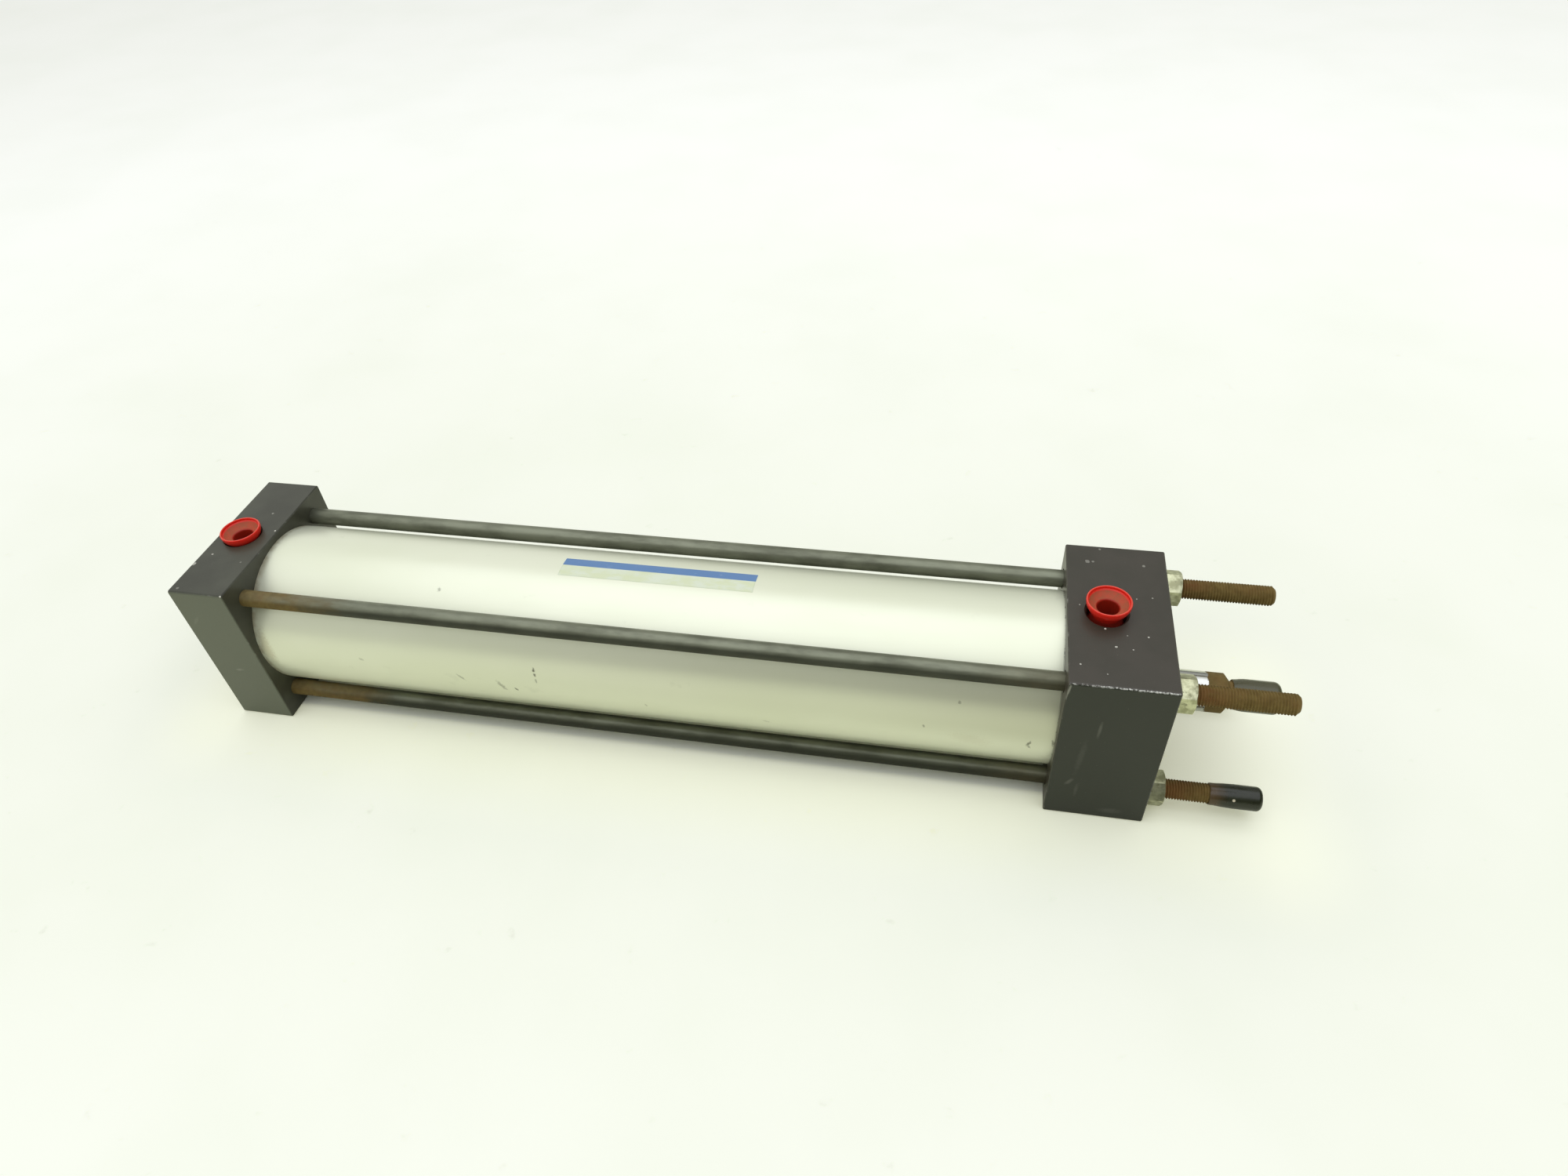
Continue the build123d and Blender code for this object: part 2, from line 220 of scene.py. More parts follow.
def paint(finish, *names):
    """Gives CAD nodes this finish."""
    for name in names:
        for slot in nodes[name].material_slots:
            slot.material = finish.material


print("shader helpers are ready; sRGB 128 is linear", round(colour(128, 128, 128)[0], 3))

# %% [markdown]
# The studio is a pale table in a pale room. The part's shadow gives the table most of its tone, and far
# from the part the table's colour runs into the backdrop. A weak glow, which the camera alone sees, sets
# how deep that shadow looks: it is stronger beside the part, and there is none under it. The part in turn
# sees a slightly yellower table than the camera does. The room is bright overhead and to the left, and dark
# behind the camera. That darkness draws much of the grey band along the tube, because satin metal mirrors
# the room that it faces; the rest of the band is painted shade on the tube.

# %% Table, room and lamp
backdrop_level = 0.96
air = (0.98, 1.0, 0.95)
backdrop_tone = [backdrop_level * part for part in air] + [1.0]
no_light = colour(0, 0, 0)
part_middle, part_reach, part_side = -180, 225, 40
under_middle, under_reach = -200, 200
shadow_reach = 45
table_size = 16
floor_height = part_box("front_head")[0].z
bpy.ops.object.select_all(action="DESELECT")
bpy.ops.mesh.primitive_plane_add(size=table_size, location=(0, 0, floor_height))
floor = bpy.context.object
floor.name = "floor"
table_top = Finish("table_top", {"Roughness": 0.8, "Specular IOR Level": 0.0, "Emission Strength": 1.0})
smudges = table_top.noise(120, detail=3).between(0.35, 0.75)
scuffed = table_top.noise(9, detail=6, shift=3).between(0.66, 0.8) * 0.25
paint_tone = table_top.mix(smudges, colour(246, 247, 232), colour(242, 244, 227))
paint_tone = table_top.mix(scuffed, paint_tone, colour(194, 192, 170))
beyond_x = (abs(table_top.x - part_middle) - part_reach).math("MAXIMUM", 0)
beyond_y = (abs(table_top.y) - part_side).math("MAXIMUM", 0)
from_part = (beyond_x * beyond_x + beyond_y * beyond_y).math("SQRT")
looked_at = table_top.node("ShaderNodeLightPath", {}, {}, "Is Camera Ray")
far_off = from_part.between(-100, 800)
lift = table_top.mix(far_off, colour(77, 79, 71), colour(134, 133, 146))
lift = table_top.mix(from_part.between(shadow_reach, 0), lift, colour(120, 120, 96))
under_part = table_top.y.between(-32, -28) * table_top.y.between(part_side, 30)
under_part = under_part * abs(table_top.x - under_middle).between(under_reach, under_reach - 10)
lift = table_top.mix(under_part, lift, no_light)
vanishing = from_part.between(1400, 4500)
lift = table_top.mix(vanishing, lift, backdrop_tone)
table_top.feed("Emission Color", table_top.mix(looked_at, no_light, lift))
paint_tone = table_top.mix(looked_at, colour(243, 245, 219), paint_tone)
table_top.feed("Base Color", table_top.mix(vanishing * looked_at, paint_tone, no_light))
floor.data.materials.append(table_top.material)
floor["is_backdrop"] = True

world = bpy.data.worlds.new("world")
bpy.context.scene.world = world
world.use_nodes = True
room = Wiring(world.node_tree)
bright_side = (-0.6, 0.2, 0.8)
direction = room.node("ShaderNodeTexCoord", {}, {}, "Generated")
towards = {0: direction, 1: bright_side}
facing = room.node("ShaderNodeVectorMath", {"operation": "DOT_PRODUCT"}, towards, "Value")
lit = facing.between(-0.35, 0.75)
camera_ray = room.node("ShaderNodeLightPath", {}, {}, "Is Camera Ray")
glossy_ray = room.node("ShaderNodeLightPath", {}, {}, "Is Glossy Ray")
fill = 0.34 + lit * 0.36
mirrored = 0.02 + facing.between(-0.12, 0.72) * 0.84
strength = fill + glossy_ray * (mirrored - fill)
strength = strength + camera_ray * (backdrop_level - strength)
background = world.node_tree.nodes["Background"]
background.inputs["Color"].default_value = (*air, 1.0)
world.node_tree.links.new(strength.socket, background.inputs["Strength"])

lamp_data = bpy.data.lights.new("softbox", "AREA")
lamp_data.shape = "RECTANGLE"
lamp_data.size, lamp_data.size_y = 2.2, 1.9
lamp_data.energy = 10.4
lamp_data.color = (0.97, 1.0, 1.16)
lamp = bpy.data.objects.new("softbox", lamp_data)
lamp.location = (-0.06, -0.2, 1.25)
bpy.context.scene.collection.objects.link(lamp)
bpy.context.scene.view_settings.view_transform = "Standard"
print("floor at", round(floor_height, 4), "m")

# %% [markdown]
# The two blocks are machined aluminium, anodised black. Anodising is a thin dyed skin, so it is satin
# rather than glossy, and where it is knocked off, bright metal shows. That happens at edges first, and the
# front block's upper near edge is chipped bare over most of its length. The near face of each block has a
# tone of its own: painted shade on the front block, painted light on the rear block. The mask for an edge
# is worked out from the block's own sizes: a point near two faces at once lies on an edge. The sizes are
# read from the frame. Each block has a pilot inside the tube, so its inner face is found where the tube
# ends. A fleck is listed as its place on the top face, its radius and its strength. A stroke on the near
# face is listed as its place, its slant in degrees, its length, its width and its strength.

# %% Black anodised blocks
def millimetre_box(node):
    """The low and the high corner of a CAD node's box in millimetres, to the nearest thousandth."""
    return [[round(value / MM, 3) for value in corner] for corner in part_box(node)]


barrel_low, barrel_high = millimetre_box("barrel")
cap_rear, cap_front = millimetre_box("rear_cap")[0][0], barrel_low[0]
head_rear, head_front = barrel_high[0], millimetre_box("front_head")[1][0]
half_side = millimetre_box("front_head")[1][2]
edge_reach = 0.6


def anodised_black(name, low_x, high_x, tones, wear_from, flecks, strokes):
    """Black anodising on a block between two places along X, with worn edges, flecks and rubbed strokes."""
    black = Finish(name, {"IOR": 1.5, "Specular IOR Level": 0.42})
    fine = black.noise(0.8, detail=6)
    cloudy = black.noise(22, detail=3)
    wobble = black.noise(0.9, shift=7) - 0.5
    middle = (low_x + high_x) / 2
    reach_x = (high_x - low_x) / 2
    to_x = reach_x - abs(black.x - middle)
    to_y = half_side - abs(black.y)
    to_z = half_side - abs(black.z)
    edges = [to_y.math("MAXIMUM", to_z), to_x.math("MAXIMUM", to_z), to_x.math("MAXIMUM", to_y)]
    nearest = edges[0].math("MINIMUM", edges[1]).math("MINIMUM", edges[2])
    rubbed = nearest.between(edge_reach, 0.1) * black.noise(5, shift=3).between(0.56, 0.7) * 0.25
    worn = rubbed
    if wear_from is not None:
        to_long_edge = (black.y + half_side) + (half_side - black.z) + wobble * 0.8
        full = black.x.between(wear_from, wear_from + 5) * black.noise(4, shift=1).between(0.3, 0.38)
        chipped = black.noise(0.9, stretch=(1.6, 1, 1), shift=2).between(0.46, 0.54)
        bare_edge = to_long_edge.between(0.72, 0.46) * full.math("MAXIMUM", chipped * 0.6)
        worn = rubbed.math("MAXIMUM", bare_edge)
    pale = black.noise(0.4, detail=1, shift=11).between(0.8, 0.84) * 0.3
    for spot, radius, strength in flecks:
        mark = black.near((*spot, half_side), radius, 0.15, wobble * radius * 1.5)
        pale = pale.math("MAXIMUM", mark * strength)
    near_face = black.node("ShaderNodeCombineXYZ", {}, {0: black.x, 1: black.z})
    on_near_face = black.y.between(-half_side + 0.4, -half_side + 0.1)
    for place, slant, length, width, strength in strokes:
        mark = black.stroke(near_face, place, slant, length, width, wobble * 1.2)
        pale = pale.math("MAXIMUM", mark * on_near_face * strength)
    # The near face gets its own tone: painted shade on the front block, painted light on the rear block.
    low_tone, high_tone, painted_near_face_tone = tones
    skin = black.mix(cloudy.between(0.3, 0.7), low_tone, high_tone)
    skin = black.mix(on_near_face, skin, painted_near_face_tone)
    skin = black.mix(worn, skin, colour(232, 232, 222))
    black.feed("Base Color", black.mix(pale, skin, colour(215, 213, 198)))
    black.feed("Metallic", worn * 0.7)
    black.feed("Roughness", 0.3 + cloudy * 0.1 + pale * 0.3)
    black.bump(fine + worn * -0.8 + pale * 1.2, 0.02)
    return black


head_flecks = [
    ((-24.6, -9.1), 0.32, 1.0), ((-21.1, -17.9), 0.38, 0.7), ((-9.5, -11.5), 0.28, 0.7),
    ((-15.2, -18.6), 0.2, 0.7), ((-33.9, -28.2), 0.24, 0.8), ((-8.6, 27.9), 0.5, 0.3),
    ((-29.9, 28.0), 0.8, 0.25), ((-27.8, 28.2), 0.45, 0.25), ((-16.9, -11.7), 0.16, 0.5),
    ((-12.4, 8.5), 0.2, 0.6), ((-6.6, 9.7), 0.25, 0.4), ((-33.5, 2.7), 0.16, 0.7),
    ((-24.7, -31.8), 0.2, 0.4), ((-28.0, -6.0), 0.18, 0.5), ((-24.9, 36.1), 0.4, 0.3),
]
head_strokes = [
    ((-24.0, 15.0), 88, 8.0, 1.2, 0.08), ((-28.4, -2.0), 86, 17.0, 2.2, 0.03),
    ((-30.6, -17.4), 60, 4.4, 1.6, 0.07), ((-27.4, -22.0), 88, 7.5, 1.3, 0.04),
    ((-37.6, 34.0), 82, 7.0, 0.8, 0.3), ((-13.0, -33.0), 2, 8.0, 3.0, 0.04),
]
cap_flecks = [
    ((-399.6, -20.6), 0.8, 0.6), ((-395.1, -13.8), 0.35, 0.6), ((-376.2, 4.4), 0.35, 0.9),
    ((-384.3, 15.7), 0.45, 0.35), ((-379.3, -17.0), 0.3, 0.25), ((-375.3, -38.1), 0.6, 0.9),
    ((-396.9, -35.6), 0.5, 0.25),
]
cap_strokes = [((-388.0, -7.8), 10, 3.5, 1.2, 0.15), ((-394.5, 22.0), 50, 6.0, 1.4, 0.05)]
# The third tone is the near face's: painted shade on the front block, painted light on the rear block.
head_tones = (colour(58, 55, 45), colour(66, 61, 52), colour(37, 40, 29))
cap_tones = (colour(60, 60, 49), colour(73, 74, 61), colour(94, 98, 81))
head_wear_from = -31.0
head_black = anodised_black("black_anodised_head", head_rear, head_front, head_tones, head_wear_from,
                            head_flecks, head_strokes)
cap_black = anodised_black("black_anodised_cap", cap_rear, cap_front, cap_tones, None,
                           cap_flecks, cap_strokes)
paint(head_black, "front_head")
paint(cap_black, "rear_cap")
print("blocks:", len(head_black.tree.nodes), "and", len(cap_black.tree.nodes), "nodes")

# %% [markdown]
# The tube is drawn aluminium under clear anodising. Drawing leaves very fine streaks along the length, and
# the clear skin scatters light, so the tube looks nearly white and only partly metallic. Years of handling
# left grey scuffs and brown stains, mostly by the rear block. A darker band on the near side, below the
# near upper rod and stronger towards the front block, is painted shade. A scuff is listed as its place
# along X, its degrees round from the top, its slant in degrees, its length, its width and its strength.

# %% Clear anodised barrel
barrel_radius = barrel_high[1]
clear = Finish("clear_anodised", {"Metallic": 0.43, "IOR": 1.5, "Coat Weight": 0.4, "Coat Roughness": 0.3})
streaks = clear.noise(1.1, stretch=(60, 1, 1), detail=5)
haze = clear.noise(40, stretch=(2.5, 1, 1), detail=3)
ragged = clear.noise(0.9, detail=5, shift=5) - 0.5
round_top = clear.angle_round()
unrolled = clear.node("ShaderNodeCombineXYZ", {}, {0: clear.x, 1: round_top * barrel_radius})
per_degree = math.radians(barrel_radius)
scuffs = [
    (-280.9, 89.8, 45, 4.0, 1.0, 0.45), (-263.2, 94.0, 62, 6.0, 1.7, 0.45),
    (-257.0, 96.2, 50, 2.0, 0.9, 0.8), (-246.9, 75.8, 88, 2.0, 1.1, 0.85),
    (-246.8, 79.8, 88, 1.8, 1.0, 0.8), (-246.7, 85.0, 88, 2.2, 0.8, 0.45),
    (-290.5, 26.0, 80, 1.8, 1.3, 0.45), (-74.7, 65.4, 70, 1.3, 1.0, 0.5),
    (-87.5, 86.4, 80, 1.3, 0.9, 0.5), (-47.6, 92.2, -68, 3.2, 1.1, 0.75),
    (-47.3, 95.2, 60, 2.2, 0.9, 0.5), (-38.9, 88.9, 85, 3.6, 0.8, 0.6),
    (-325.9, 82.9, 30, 2.0, 1.2, 0.3), (-150.2, 101.0, 12, 3.0, 0.9, 0.25),
    (-200.4, 98.0, 75, 1.8, 0.9, 0.3),
]
dirt = clear.noise(9, shift=2).between(0.66, 0.76) * 0.06
for x, angle, slant, length, width, strength in scuffs:
    mark = clear.stroke(unrolled, (x, angle * per_degree), slant, length, width, ragged * 2.2)
    dirt = dirt.math("MAXIMUM", mark * strength)
stain = clear.stroke(unrolled, (-371.3, 82 * per_degree), 84, 18, 5, ragged * 1.5) * 0.35
by_cap = clear.x.between(-371.5, -374.6) * clear.noise(6, shift=8).between(0.35, 0.6) * 0.5
by_head = clear.stroke(unrolled, (-69, 95 * per_degree), 12, 16, 6, ragged * 1.5) * 0.1
stain = stain.math("MAXIMUM", by_cap).math("MAXIMUM", by_head)
joint = clear.x.between(head_rear - 0.5, head_rear - 0.3)
joint = joint * (0.3 + clear.noise(1.6, shift=9).between(0.55, 0.65) * 0.4)
tone = clear.mix(haze.between(0.3, 0.7), colour(230, 233, 207), colour(236, 238, 215))
# Painted shade: a darker band on the near side, below the near upper rod, stronger towards the front block.
near_side_shade = clear.x.between(-330, -150) * 0.36 + clear.x.between(-130, -40) * 0.44
near_side_shade = near_side_shade * round_top.between(0.75, 1.1) * round_top.between(1.75, 1.4)
tone = clear.mix(near_side_shade, tone, colour(196, 197, 170))
tone = clear.mix(stain, tone, colour(150, 128, 78))
tone = clear.mix(dirt, tone, colour(84, 84, 62))
clear.feed("Base Color", clear.mix(joint, tone, colour(70, 70, 60)))
clear.feed("Roughness", 0.3 + streaks * 0.1 + dirt * 0.3)
clear.bump(streaks, 0.005)
paint(clear, "barrel")
print("barrel:", len(clear.tree.nodes), "nodes")

# %% [markdown]
# Several pieces are turned: a plug, a cap and a tie rod's shank are each one outline swept round an axis.
# The outline is drawn as by hand: a plane is merged into one corner, and the corner is extruded from point
# to point. Spin then sweeps the chain round. Where the sweep closes, its doubles are merged and its normals
# are set outwards.

# %% Outlines and turned pieces
SAME_POINT = 1e-7


def trace(name, points, origin=(0, 0, 0)):
    """A chain of edges in the XZ plane, through (x, z) points in millimetres from this origin."""
    bpy.ops.object.select_all(action="DESELECT")
    bpy.ops.mesh.primitive_plane_add(size=MM)
    made = bpy.context.object
    made.name = made.data.name = name
    bpy.ops.object.mode_set(mode="EDIT")
    bpy.ops.mesh.merge(type="CENTER")
    first_x, first_z = points[0]
    first = (origin[0] + first_x, origin[1], origin[2] + first_z)
    bpy.ops.transform.translate(value=[place * MM for place in first])
    for (from_x, from_z), (to_x, to_z) in zip(points, points[1:]):
        step = ((to_x - from_x) * MM, 0, (to_z - from_z) * MM)
        bpy.ops.mesh.extrude_vertices_move(TRANSFORM_OT_translate={"value": step})
    bpy.ops.mesh.select_all(action="SELECT")
    return made


def merge_doubles():
    """Merges the doubles of the piece in edit mode, and turns its faces outwards."""
    bpy.ops.mesh.select_all(action="SELECT")
    bpy.ops.mesh.remove_doubles(threshold=SAME_POINT)
    bpy.ops.mesh.normals_make_consistent(inside=False)
    bpy.ops.mesh.select_all(action="SELECT")


def turn(name, points, origin, axis, steps=72):
    """A turned piece: the outline swept once round an axis through its origin."""
    made = trace(name, points, origin)
    bpy.ops.mesh.spin(steps=steps, angle=math.tau, center=[place * MM for place in origin], axis=axis)
    merge_doubles()
    bpy.ops.object.mode_set(mode="OBJECT")
    bpy.ops.object.shade_smooth_by_angle(angle=math.radians(35))
    return made


def arc(centre, radius, start, end, steps=6):
    """Points on an arc between two angles in degrees, measured from the first axis to the second."""
    angles = [math.radians(start + (end - start) * step / steps) for step in range(steps + 1)]
    first, second = centre
    return [(first + radius * math.cos(angle), second + radius * math.sin(angle)) for angle in angles]


def stand_for(piece, node, body, finish):
    """Makes a finished piece stand for a CAD node, on its body and with its finish."""
    piece.data.materials.clear()
    piece.data.materials.append(finish.material)
    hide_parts(node)
    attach(piece, body)
    extent = [round(length / MM, 2) for length in piece.dimensions]
    triangles = sum(len(face.vertices) - 2 for face in piece.data.polygons)
    print(piece.name, "is", extent, "mm, with", triangles, "triangles")


print("outline tools are ready; half a circle has", len(arc((0, 0), 1, 0, 180)), "points")

# %% [markdown]
# The tie rods are cold-drawn steel with a dark oxide skin. The oxide holds in the dry middle, and rust has
# taken the threaded studs and the rear ends of the two near rods. The lower half of every rod, most on the
# near rods, and the whole of the two lower rods, most towards the front block, are darker as painted shade.
# Rust is never one brown: it is paler where it is thin and darker where it is thick, and it is rough, so it
# gets its own bump.

# %% Dark steel and rust
def rust_colour(finish, shift=0.0):
    """The browns of old rust, blended by two sizes of noise."""
    thick = finish.noise(2.6, detail=5, shift=shift).between(0.35, 0.65)
    thin = finish.noise(7, detail=3, shift=shift + 4).between(0.45, 0.7)
    browns = finish.mix(thick, colour(122, 103, 56), colour(108, 89, 45))
    return finish.mix(thin * 0.5, browns, colour(124, 96, 52))


tie_rod_low, tie_rod_high = millimetre_box("tie_rod_far_upper")
tie_half = (tie_rod_low[1] + tie_rod_high[1]) / 2
dark_steel = Finish("dark_steel", {"IOR": 1.5, "Specular IOR Level": 0.25})
drawn = dark_steel.noise(0.7, stretch=(25, 1, 1), detail=5)
patchy = dark_steel.noise(6, stretch=(3, 1, 1), detail=4, shift=2)
grain = dark_steel.noise(0.5, detail=6, shift=9)
stud_rust = dark_steel.x.between(-3, 3)
near_rods = dark_steel.y.between(5, -5)
rear_rust = (dark_steel.x + (patchy - 0.5) * 60).between(-318, -366) * near_rods
front_rust = (dark_steel.x + (patchy - 0.5) * 40).between(-75, -45) * near_rods * 0.12
rusty = stud_rust.math("MAXIMUM", (rear_rust * 0.8).math("MAXIMUM", front_rust))
oxide_and_shade = dark_steel.mix(patchy.between(0.3, 0.7), colour(98, 100, 84), colour(130, 133, 114))
above_axis = dark_steel.z - dark_steel.z.math("SIGN") * tie_half
# Painted shade: the lower half of each rod is darker, most on the near rods, and there it is also less
# metallic and rougher.
underside_shade = above_axis.between(2.7, 1.1) * (1 - stud_rust) * (0.4 + near_rods * 0.42)
# Painted shade: the two lower rods are darker all round, most towards the front block.
lower_rod_shade = dark_steel.z.between(-20, -30) * (0.8 + dark_steel.x.between(-240, -90) * 0.2)
oxide_and_shade = dark_steel.mix(lower_rod_shade, oxide_and_shade, colour(44, 46, 33))
oxide_and_shade = dark_steel.mix(underside_shade, oxide_and_shade, colour(36, 38, 26))
red_by_nut = dark_steel.x.between(22, 9) * dark_steel.x.between(2, 5) * patchy.between(0.35, 0.6) * 0.7
browns = dark_steel.mix(red_by_nut, rust_colour(dark_steel), colour(116, 74, 38))
pale_speck = dark_steel.noise(0.5, detail=1, shift=15).between(0.79, 0.83) * stud_rust * 0.6
browns = dark_steel.mix(pale_speck, browns, colour(190, 184, 150))
dark_steel.feed("Base Color", dark_steel.mix(rusty, oxide_and_shade, browns))
dark_steel.feed("Metallic", (1 - rusty) * (1 - underside_shade) * 0.6)
dark_steel.feed("Roughness", 0.3 + drawn * 0.12 + rusty * 0.35 + underside_shade * 0.3)
dark_steel.bump(drawn * 0.35 + grain * rusty, 0.05)
print("dark steel:", len(dark_steel.tree.nodes), "nodes")

# %% [markdown]
# A tie rod is one steel bar with a rolled thread at its end. The thread is a true helix here: one pitch of
# its outline is traced, and a Screw modifier winds it along the axis. Bisect cuts the winding square at
# both ends and fills the cuts. The last face is then drawn out and narrowed, as the chamfer on a real stud.
# The cutting threshold has to be far finer than the thread, or bisect takes near corners for ones that lie
# on its plane.

# %% Tie rods with threaded studs
thread_pitch = 25.4 / 24
thread_crest = (tie_rod_high[1] - tie_rod_low[1]) / 2
thread_root = thread_crest - 0.5 * thread_pitch
thread_start = -6.0
stud_tip = tie_rod_high[0]
tip_taper, tip_share = 0.9, 0.8
rear_cut_turns = 1.507
winding_steps = 40
shank_radius, shank_chamfer = 3.6, 0.6
shank_rear = tie_rod_low[0]
thread_shape = [(0, thread_root), (0.17, thread_root), (0.52, thread_crest), (0.65, thread_crest),
                (1, thread_root)]


def cut_square(x, keep):
    """Cuts the winding across its axis and fills the cut, keeping what lies on one side."""
    bpy.ops.mesh.select_all(action="SELECT")
    sides = {"clear_inner": keep == "front", "clear_outer": keep == "rear"}
    bpy.ops.mesh.bisect(plane_co=(x * MM, 0, 0), plane_no=(1, 0, 0), use_fill=True, threshold=SAME_POINT,
                        **sides)


def wound_thread(name):
    """The stud's helix along X, closed at its rear and tapered at its tip."""
    made = trace(name, [(thread_start + share * thread_pitch, radius) for share, radius in thread_shape])
    bpy.ops.object.mode_set(mode="OBJECT")
    screw = made.modifiers.new("winding", "SCREW")
    screw.axis = "X"
    screw.steps = screw.render_steps = winding_steps
    screw.screw_offset = thread_pitch * MM
    screw.iterations = math.ceil((stud_tip - thread_start) / thread_pitch) + 2
    bpy.ops.object.modifier_apply(modifier=screw.name)
    bpy.ops.object.mode_set(mode="EDIT")
    merge_doubles()
    cut_square(thread_start + rear_cut_turns * thread_pitch, keep="front")
    cut_square(stud_tip - tip_taper, keep="rear")
    bpy.ops.mesh.extrude_region_move(TRANSFORM_OT_translate={"value": (tip_taper * MM, 0, 0)})
    bpy.ops.transform.resize(value=(1, tip_share, tip_share), center_override=(stud_tip * MM, 0, 0))
    bpy.ops.object.mode_set(mode="OBJECT")
    bpy.ops.object.shade_smooth_by_angle(angle=math.radians(25))
    return made


def tie_rod_bar():
    """A whole tie rod on the X axis: its drawn shank and its wound stud, joined in one piece."""
    shank = [(shank_rear, 0), (shank_rear, shank_radius - shank_chamfer),
             (shank_rear + shank_chamfer, shank_radius), (0, shank_radius), (0, 0)]
    bar = turn("tie_rod", shank, (0, 0, 0), (1, 0, 0), steps=48)
    stud = wound_thread("stud")
    bpy.ops.object.select_all(action="DESELECT")
    stud.select_set(True)
    bar.select_set(True)
    bpy.context.view_layer.objects.active = bar
    bpy.ops.object.join()
    return bar


def copy_to(master, name, turned, shift):
    """A copy with its own mesh, turned about the X axis in degrees and moved in millimetres."""
    bpy.ops.object.select_all(action="DESELECT")
    copied = master.copy()
    copied.data = master.data.copy()
    copied.name = copied.data.name = name
    bpy.context.scene.collection.objects.link(copied)
    copied.select_set(True)
    bpy.context.view_layer.objects.active = copied
    copied.rotation_euler = (math.radians(turned), 0, 0)
    copied.location = [place * MM for place in shift]
    bpy.ops.object.transform_apply(location=True, rotation=True, scale=False)
    return copied


corners = {"near_upper": (-1, 1, 40), "far_upper": (1, 1, 200), "near_lower": (-1, -1, 110),
           "far_lower": (1, -1, 290)}
bar = tie_rod_bar()
for place, (side_y, side_z, turned) in corners.items():
    rod = copy_to(bar, f"threaded_rod_{place}", turned, (0, side_y * tie_half, side_z * tie_half))
    stand_for(rod, f"tie_rod_{place}", "cylinder_body", dark_steel)
bpy.data.objects.remove(bar)

# %% [markdown]
# The nuts are zinc plated. Plating is bright but never even: it dulls in patches and holds dirt in places.
# The CAD nuts have the right flats and crowns, but knife-sharp edges. Each one is copied, its loose
# triangles are merged and its flat faces dissolved, and a Bevel modifier takes the edges down as handling
# does.

# %% Zinc plated nuts
zinc = Finish("zinc_plate", {"IOR": 1.5})
dull = zinc.noise(3.2, detail=5)
pitted = zinc.noise(0.6, detail=6, shift=4)
soiled = zinc.noise(2.1, detail=3, shift=8).between(0.56, 0.7)
plate = zinc.mix(dull.between(0.35, 0.65), colour(206, 207, 170), colour(156, 156, 122))
zinc.feed("Base Color", zinc.mix(soiled * 0.6, plate, colour(110, 108, 76)))
zinc.feed("Metallic", 0.85 - soiled * 0.4)
zinc.feed("Roughness", 0.24 + dull * 0.2)
zinc.bump(pitted + dull * 2, 0.04)


def worn_copy(node, name, edge):
    """A copy of a CAD node whose edges are rounded by this many millimetres."""
    bpy.ops.object.select_all(action="DESELECT")
    copied = nodes[node].copy()
    copied.data = nodes[node].data.copy()
    copied.parent = None
    for key in list(copied.keys()):
        del copied[key]
    copied.name = copied.data.name = name
    bpy.context.scene.collection.objects.link(copied)
    copied.select_set(True)
    bpy.context.view_layer.objects.active = copied
    bpy.ops.object.mode_set(mode="EDIT")
    bpy.ops.mesh.select_all(action="SELECT")
    bpy.ops.mesh.remove_doubles(threshold=SAME_POINT * 10)
    bpy.ops.mesh.dissolve_limited(angle_limit=math.radians(0.5))
    bpy.ops.object.mode_set(mode="OBJECT")
    bevel = copied.modifiers.new("worn edge", "BEVEL")
    bevel.width = edge * MM
    bevel.segments = 2
    bevel.limit_method = "ANGLE"
    bevel.angle_limit = math.radians(20)
    bpy.ops.object.modifier_apply(modifier=bevel.name)
    bpy.ops.object.shade_smooth_by_angle(angle=math.radians(30))
    return copied


worn_edge = 0.14
for place in corners:
    nut = worn_copy(f"tie_rod_nut_{place}", f"plated_nut_{place}", worn_edge)
    stand_for(nut, f"tie_rod_nut_{place}", "cylinder_body", zinc)

# %% [markdown]
# The port plugs are moulded in soft red plastic: a thin rim on a round bowl, a funnel inside it, a narrow
# neck, and deep in the port a bead that grips it. Dust has settled in the funnel. The neck down in the port
# and the hole in the funnel are darker as painted shade, and the round top of the lip is paler as a painted
# highlight. One material serves both plugs, because its masks are measured from the nearer port's axis and
# the nearer rim.

# %% Red port plugs
rear_port, front_port = -389.4, -23.6
port_middle = (rear_port + front_port) / 2
port_apart = (front_port - rear_port) / 2
red = Finish("red_plastic", {"IOR": 1.46, "Specular IOR Level": 0.5, "Subsurface Weight": 0.15,
                             "Subsurface Radius": (1.0, 0.25, 0.15), "Subsurface Scale": 0.8 * MM})
from_port = abs(red.x - port_middle) - port_apart
from_axis = (from_port * from_port + red.y * red.y).math("SQRT")
rear_rim = millimetre_box("port_plug_rear")[1][2]
front_rim = millimetre_box("port_plug_front")[1][2]
on_front_plug = red.x.between(port_middle, port_middle + 1)
below_rim = on_front_plug * (front_rim - rear_rim) + rear_rim - red.z
in_funnel = from_axis.between(7.5, 7.0) * from_axis.between(4.0, 4.7) * below_rim.between(3.9, 3.4)
# Painted shade: the hole in the funnel is darker.
hole_shade = from_axis.between(4.9, 4.0)
dusty = red.noise(2.4, detail=5).between(0.3, 0.7) * 0.16 + 0.54
# Painted highlight: the round top of the lip is paler.
lip_highlight = from_axis.between(7.7, 7.9) * from_axis.between(8.3, 8.0) * below_rim.between(0.8, 0.4)
shade = red.mix(in_funnel * dusty, colour(238, 42, 26), colour(108, 94, 56))
shade = red.mix(hole_shade * 0.8, shade, colour(112, 34, 16))
